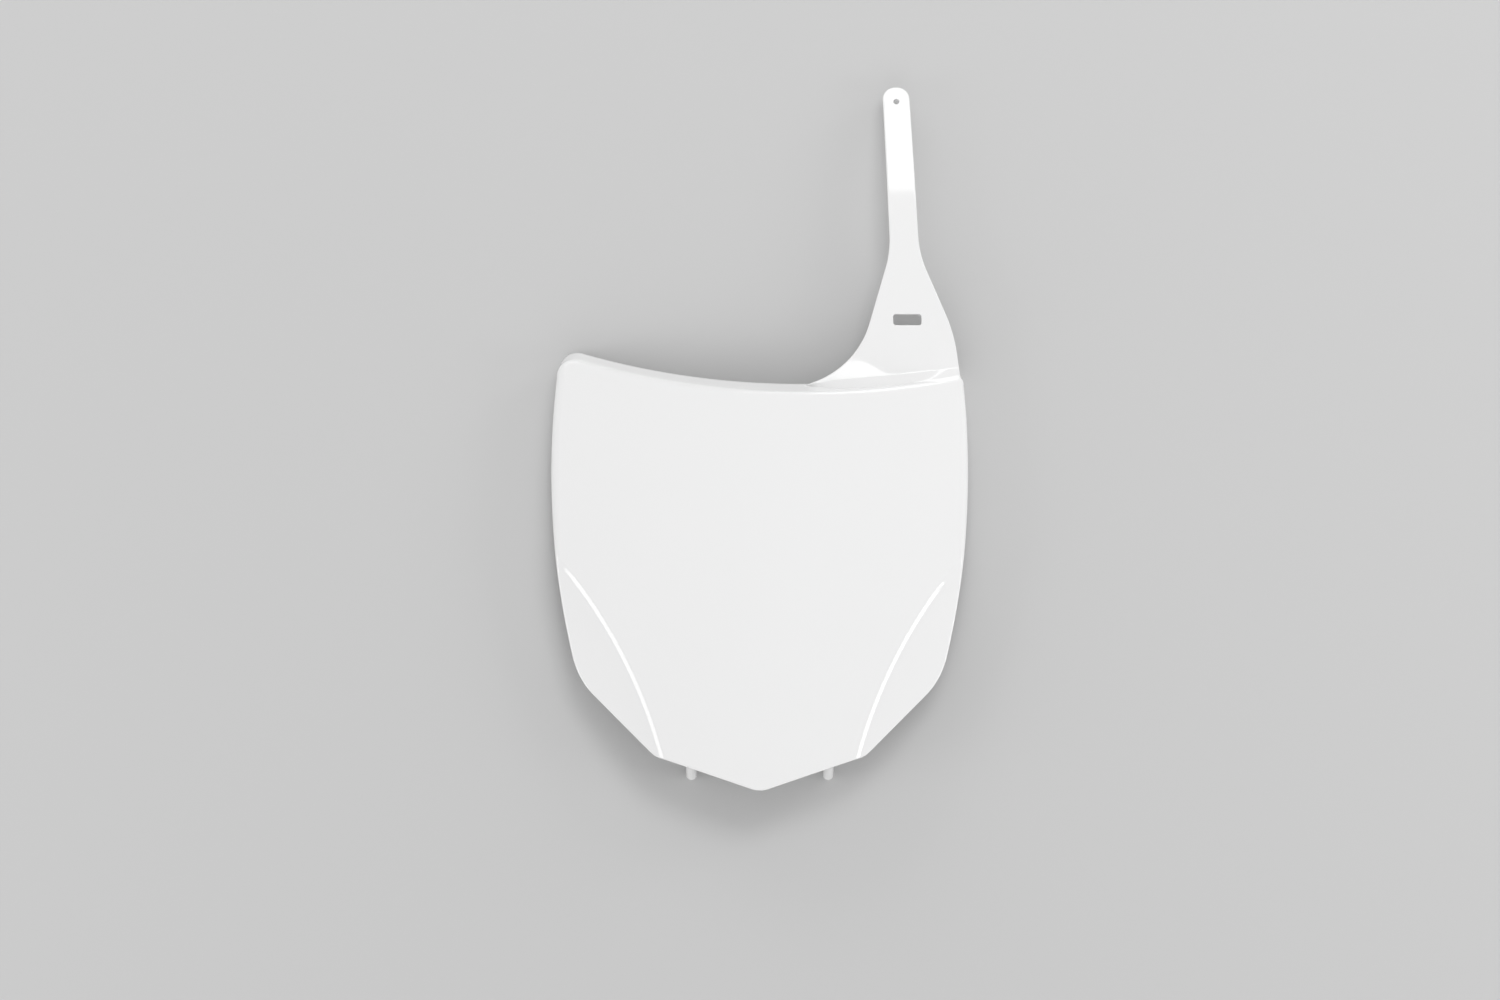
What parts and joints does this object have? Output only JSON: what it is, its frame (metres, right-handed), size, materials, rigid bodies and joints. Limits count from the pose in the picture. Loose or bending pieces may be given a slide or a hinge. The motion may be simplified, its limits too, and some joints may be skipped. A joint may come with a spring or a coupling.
{
  "type": "racing number board",
  "caption": "White moulded front number board for an off-road motorcycle: curved shield face, flared top flange, recessed lower facets, slotted fixing strap and rear pegs.",
  "frame": {"origin": "centre of the footprint, on the surface that the board lies on with its face up", "axes": "+Y from the lower tip along the strap, +Z out of the face, +X towards the strap's side"},
  "size_m": [0.235, 0.4032, 0.0351],
  "materials": {
    "white_plastic": "gloss white injection-moulded polypropylene"
  },
  "bodies": {
    "root": {"number_board": "white_plastic"}
  },
  "joints": []
}
